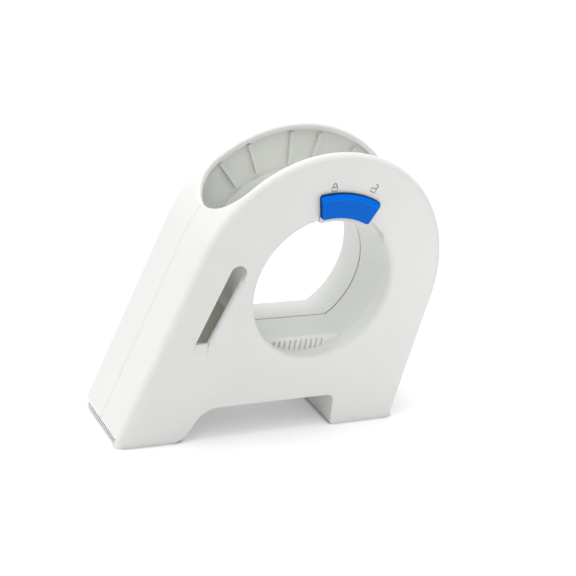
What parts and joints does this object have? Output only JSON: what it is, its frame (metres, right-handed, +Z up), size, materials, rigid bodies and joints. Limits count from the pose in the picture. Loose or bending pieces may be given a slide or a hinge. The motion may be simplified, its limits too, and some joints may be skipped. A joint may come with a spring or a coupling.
{
  "type": "masking tape applicator",
  "caption": "Hand-held masking tape applicator: two-part drum housing on two feet round a roll hub, sliding lock key, toothed cutting blade and guide roller in the nose.",
  "frame": {"origin": "on the axis of the roll hub, on the parting plane at mid-width", "axes": "+X to the rear (the nose points to -X), -Y to the side with the lock key, +Y along the hub to the plain side, +Z up"},
  "size_m": [0.1536, 0.0461, 0.1371],
  "materials": {
    "shell": "fine satin moulded plastic, white grey",
    "key": "semi-gloss blue moulded plastic",
    "inner_plastic": "plain moulded plastic",
    "roller_plastic": "smooth moulded plastic",
    "blade_steel": "ground spring steel",
    "spring_steel": "rolled spring steel",
    "screw_steel": "zinc plated steel",
    "axle_steel": "ground steel pin"
  },
  "bodies": {
    "body": {"body_shell": "shell", "cutting_blade": "blade_steel", "blade_holder": "inner_plastic", "blade_screws": "screw_steel", "roller_axle": "axle_steel", "brake_spring": "spring_steel", "brake_screw": "screw_steel"},
    "cover": {"cover_shell": "shell", "detent_spring": "spring_steel"},
    "lock": {"lock_key": "key", "key_retainer": "inner_plastic", "latch_slider": "shell"},
    "roller": {"guide_roller": "roller_plastic"}
  },
  "joints": [
    {"name": "cover_slide", "type": "slide", "parent": "body", "child": "cover", "axis": [0, -1, 0], "range_m": [0, 0.08]},
    {"name": "lock_turn", "type": "hinge", "parent": "cover", "child": "lock", "pos_m": [0, 0, 0], "axis": [0, -1, 0], "range_deg": [-20, 0]},
    {"name": "roller_spin", "type": "hinge", "parent": "body", "child": "roller", "pos_m": [-0.07861, 0, -0.0674], "axis": [0, -1, 0], "continuous": true}
  ]
}
